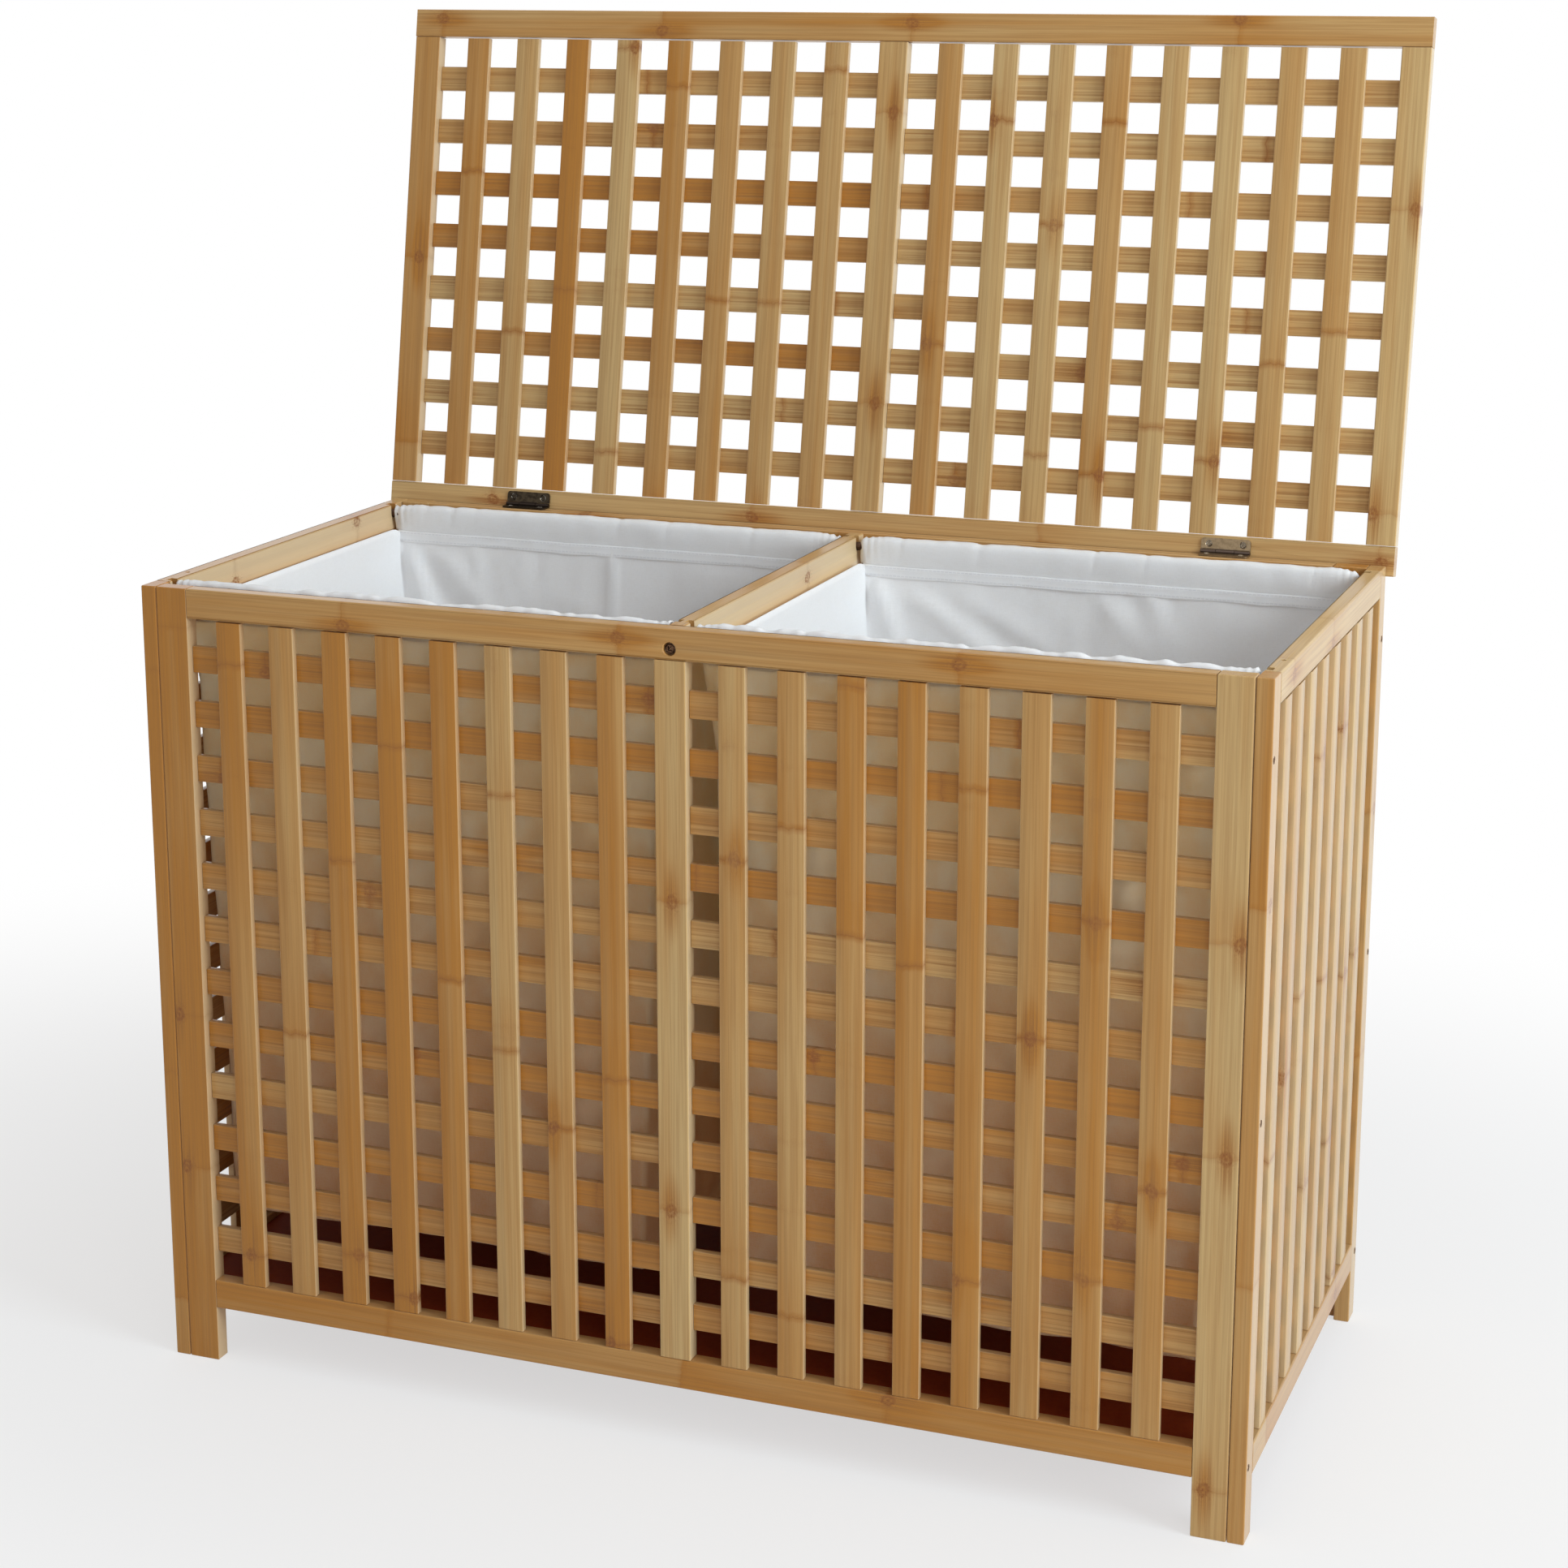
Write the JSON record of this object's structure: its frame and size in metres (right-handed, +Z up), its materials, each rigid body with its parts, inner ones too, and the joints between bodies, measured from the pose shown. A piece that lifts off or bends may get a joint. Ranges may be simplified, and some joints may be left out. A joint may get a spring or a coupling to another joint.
{
  "type": "laundry hamper",
  "caption": "Slatted bamboo laundry hamper with two cloth-lined bins side by side and one slatted lid hinged along the back, shown open.",
  "frame": {"origin": "on the floor under the centre of the whole box around the hamper, with its lid standing open", "axes": "+Z up, +Y towards the back where the lid is hinged, +X towards the hamper's right as seen from the front"},
  "size_m": [0.77, 0.437, 0.9167],
  "materials": {
    "bamboo_frame": "clear satin lacquer over straight-grained bamboo",
    "bamboo_slats": "clear satin lacquer, tone varies from slat to slat",
    "liner_cotton": "plain woven white cotton",
    "bottom_board": "dark brown hardboard",
    "rod_steel": "dark brown painted steel",
    "hinge_bronze": "antique bronze plating",
    "dark_steel": "dark plated steel"
  },
  "bodies": {
    "hamper": {"front_left_stile": "bamboo_frame", "front_right_stile": "bamboo_frame", "front_middle_stile": "bamboo_frame", "front_top_rail": "bamboo_frame", "front_bottom_rail": "bamboo_frame", "back_left_stile": "bamboo_frame", "back_right_stile": "bamboo_frame", "back_middle_stile": "bamboo_frame", "back_top_rail": "bamboo_frame", "back_bottom_rail": "bamboo_frame", "left_front_post": "bamboo_frame", "left_back_post": "bamboo_frame", "left_top_rail": "bamboo_frame", "left_bottom_rail": "bamboo_frame", "right_front_post": "bamboo_frame", "right_back_post": "bamboo_frame", "right_top_rail": "bamboo_frame", "right_bottom_rail": "bamboo_frame", "centre_bar": "bamboo_frame", "front_batten": "bamboo_frame", "back_batten": "bamboo_frame", "front_left_lattice": "bamboo_slats", "front_right_lattice": "bamboo_slats", "back_left_lattice": "bamboo_slats", "back_right_lattice": "bamboo_slats", "left_lattice": "bamboo_slats", "right_lattice": "bamboo_slats", "left_liner": "liner_cotton", "right_liner": "liner_cotton", "left_front_rod": "rod_steel", "left_back_rod": "rod_steel", "right_front_rod": "rod_steel", "right_back_rod": "rod_steel", "bottom_board": "bottom_board", "left_hinge_fixed_leaf": "hinge_bronze", "right_hinge_fixed_leaf": "hinge_bronze", "left_hinge_fixed_screw_a": "hinge_bronze", "left_hinge_fixed_screw_b": "hinge_bronze", "right_hinge_fixed_screw_a": "hinge_bronze", "right_hinge_fixed_screw_b": "hinge_bronze", "left_hinge_pin": "dark_steel", "right_hinge_pin": "dark_steel", "centre_bar_front_screw": "dark_steel", "centre_bar_back_screw": "dark_steel"},
    "lid": {"lid_hinge_rail": "bamboo_frame", "lid_front_rail": "bamboo_frame", "lid_left_stile": "bamboo_frame", "lid_right_stile": "bamboo_frame", "lid_middle_stile": "bamboo_frame", "lid_left_lattice": "bamboo_slats", "lid_right_lattice": "bamboo_slats", "left_hinge_lid_leaf": "hinge_bronze", "right_hinge_lid_leaf": "hinge_bronze", "left_hinge_lid_screw_a": "hinge_bronze", "left_hinge_lid_screw_b": "hinge_bronze", "right_hinge_lid_screw_a": "hinge_bronze", "right_hinge_lid_screw_b": "hinge_bronze"}
  },
  "joints": [
    {"name": "lid_hinge", "type": "hinge", "parent": "hamper", "child": "lid", "pos_m": [0, 0.1416, 0.5518], "axis": [1, 0, 0], "range_deg": [0, 100.4]}
  ]
}
